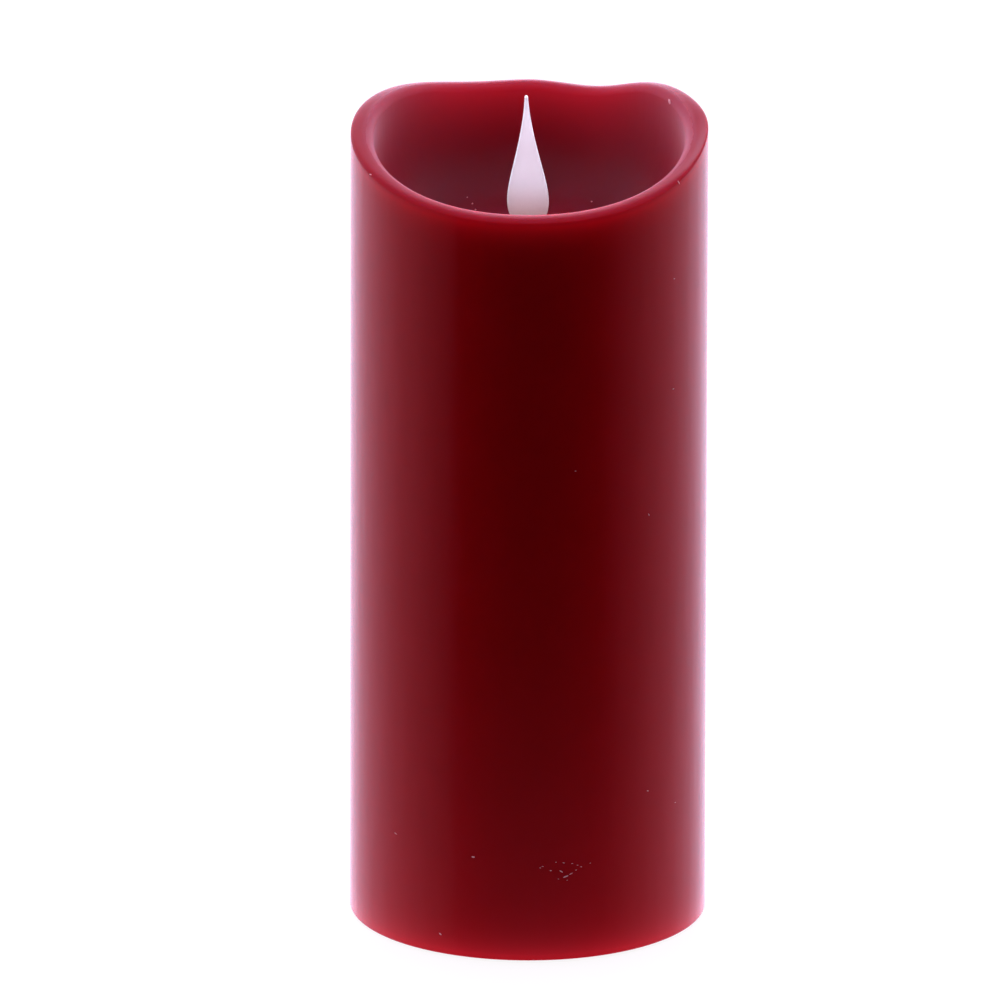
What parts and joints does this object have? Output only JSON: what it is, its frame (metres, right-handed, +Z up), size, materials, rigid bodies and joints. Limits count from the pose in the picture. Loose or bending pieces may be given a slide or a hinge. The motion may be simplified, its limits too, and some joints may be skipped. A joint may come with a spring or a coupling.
{
  "type": "flameless led candle",
  "caption": "Free-standing red real-wax pillar candle with a swaying flat flame over a drive coil, run by D cells behind a hinged base door.",
  "frame": {"origin": "centre of the bottom, on the plane that the feet stand on", "axes": "+Z up along the pillar, -Y towards the front, where the rim dips lowest, +X to the candle's right-hand side in a front view"},
  "size_m": [0.1, 0.1, 0.2388],
  "materials": {
    "wax": "dark red cast wax, satin gloss",
    "flame": "frosted white translucent",
    "black_plastic": "moulded, fine satin",
    "white_plastic": "moulded, satin",
    "natural_plastic": "moulded, uncoloured",
    "circuit_board": "green solder mask",
    "component_black": "moulded epoxy",
    "capacitor_sleeve": "shrink sleeve",
    "steel": "bright zinc",
    "magnet": "nickel plated",
    "contact_metal": "nickel plated spring strip",
    "copper": "enamelled copper wire",
    "cell_jacket": "printed foil jacket, no marks",
    "lamp_epoxy": "clear epoxy",
    "rubber": "matt",
    "wire_red": "insulated wire",
    "wire_black": "insulated wire",
    "wire_yellow": "insulated wire",
    "wire_white": "insulated wire"
  },
  "bodies": {
    "housing": {"wax_shell": "wax", "mechanism_cap": "black_plastic", "mechanism_front_shell": "natural_plastic", "mechanism_rear_shell": "natural_plastic", "mechanism_screw_left": "steel", "mechanism_screw_right": "steel", "coil_bobbin": "black_plastic", "coil_winding": "copper", "led": "lamp_epoxy", "led_holder": "white_plastic", "support_column": "black_plastic", "column_screw_front": "steel", "column_screw_rear": "steel", "circuit_board": "circuit_board", "microcontroller": "component_black", "capacitor": "capacitor_sleeve", "driver_transistor": "component_black", "battery_case": "black_plastic", "d_cell_left": "cell_jacket", "d_cell_right": "cell_jacket", "positive_contact": "contact_metal", "negative_contact": "contact_metal", "negative_spring": "steel", "base_plate": "black_plastic", "base_screw_1": "steel", "base_screw_2": "steel", "base_screw_3": "steel", "base_screw_4": "steel", "switch_body": "steel", "foot_front_left": "rubber", "foot_front_right": "rubber", "foot_rear_left": "rubber", "foot_rear_right": "rubber", "positive_wire": "wire_red", "negative_wire": "wire_black", "switch_wire": "wire_yellow", "led_cable": "wire_white", "coil_cable": "wire_red"},
    "pivot_wire": {"pivot_wire": "steel"},
    "flame": {"flame": "flame", "flame_magnet": "magnet"},
    "switch_knob": {"switch_knob": "white_plastic"},
    "battery_door": {"battery_door": "black_plastic", "bridge_contact": "contact_metal", "bridge_spring": "steel"}
  },
  "joints": [
    {"name": "flame_sway", "type": "hinge", "parent": "housing", "child": "pivot_wire", "pos_m": [0, 0, 0.1864], "axis": [0, 1, 0], "range_deg": [-8, 8]},
    {"name": "flame_rock", "type": "hinge", "parent": "pivot_wire", "child": "flame", "pos_m": [0, 0, 0.1864], "axis": [1, 0, 0], "range_deg": [-5, 5]},
    {"name": "switch_slide", "type": "slide", "parent": "housing", "child": "switch_knob", "axis": [1, 0, 0], "range_m": [0, 0.004]},
    {"name": "door_swing", "type": "hinge", "parent": "housing", "child": "battery_door", "pos_m": [0, -0.0192, 0.0015], "axis": [-1, 0, 0], "range_deg": [0, 95]}
  ]
}
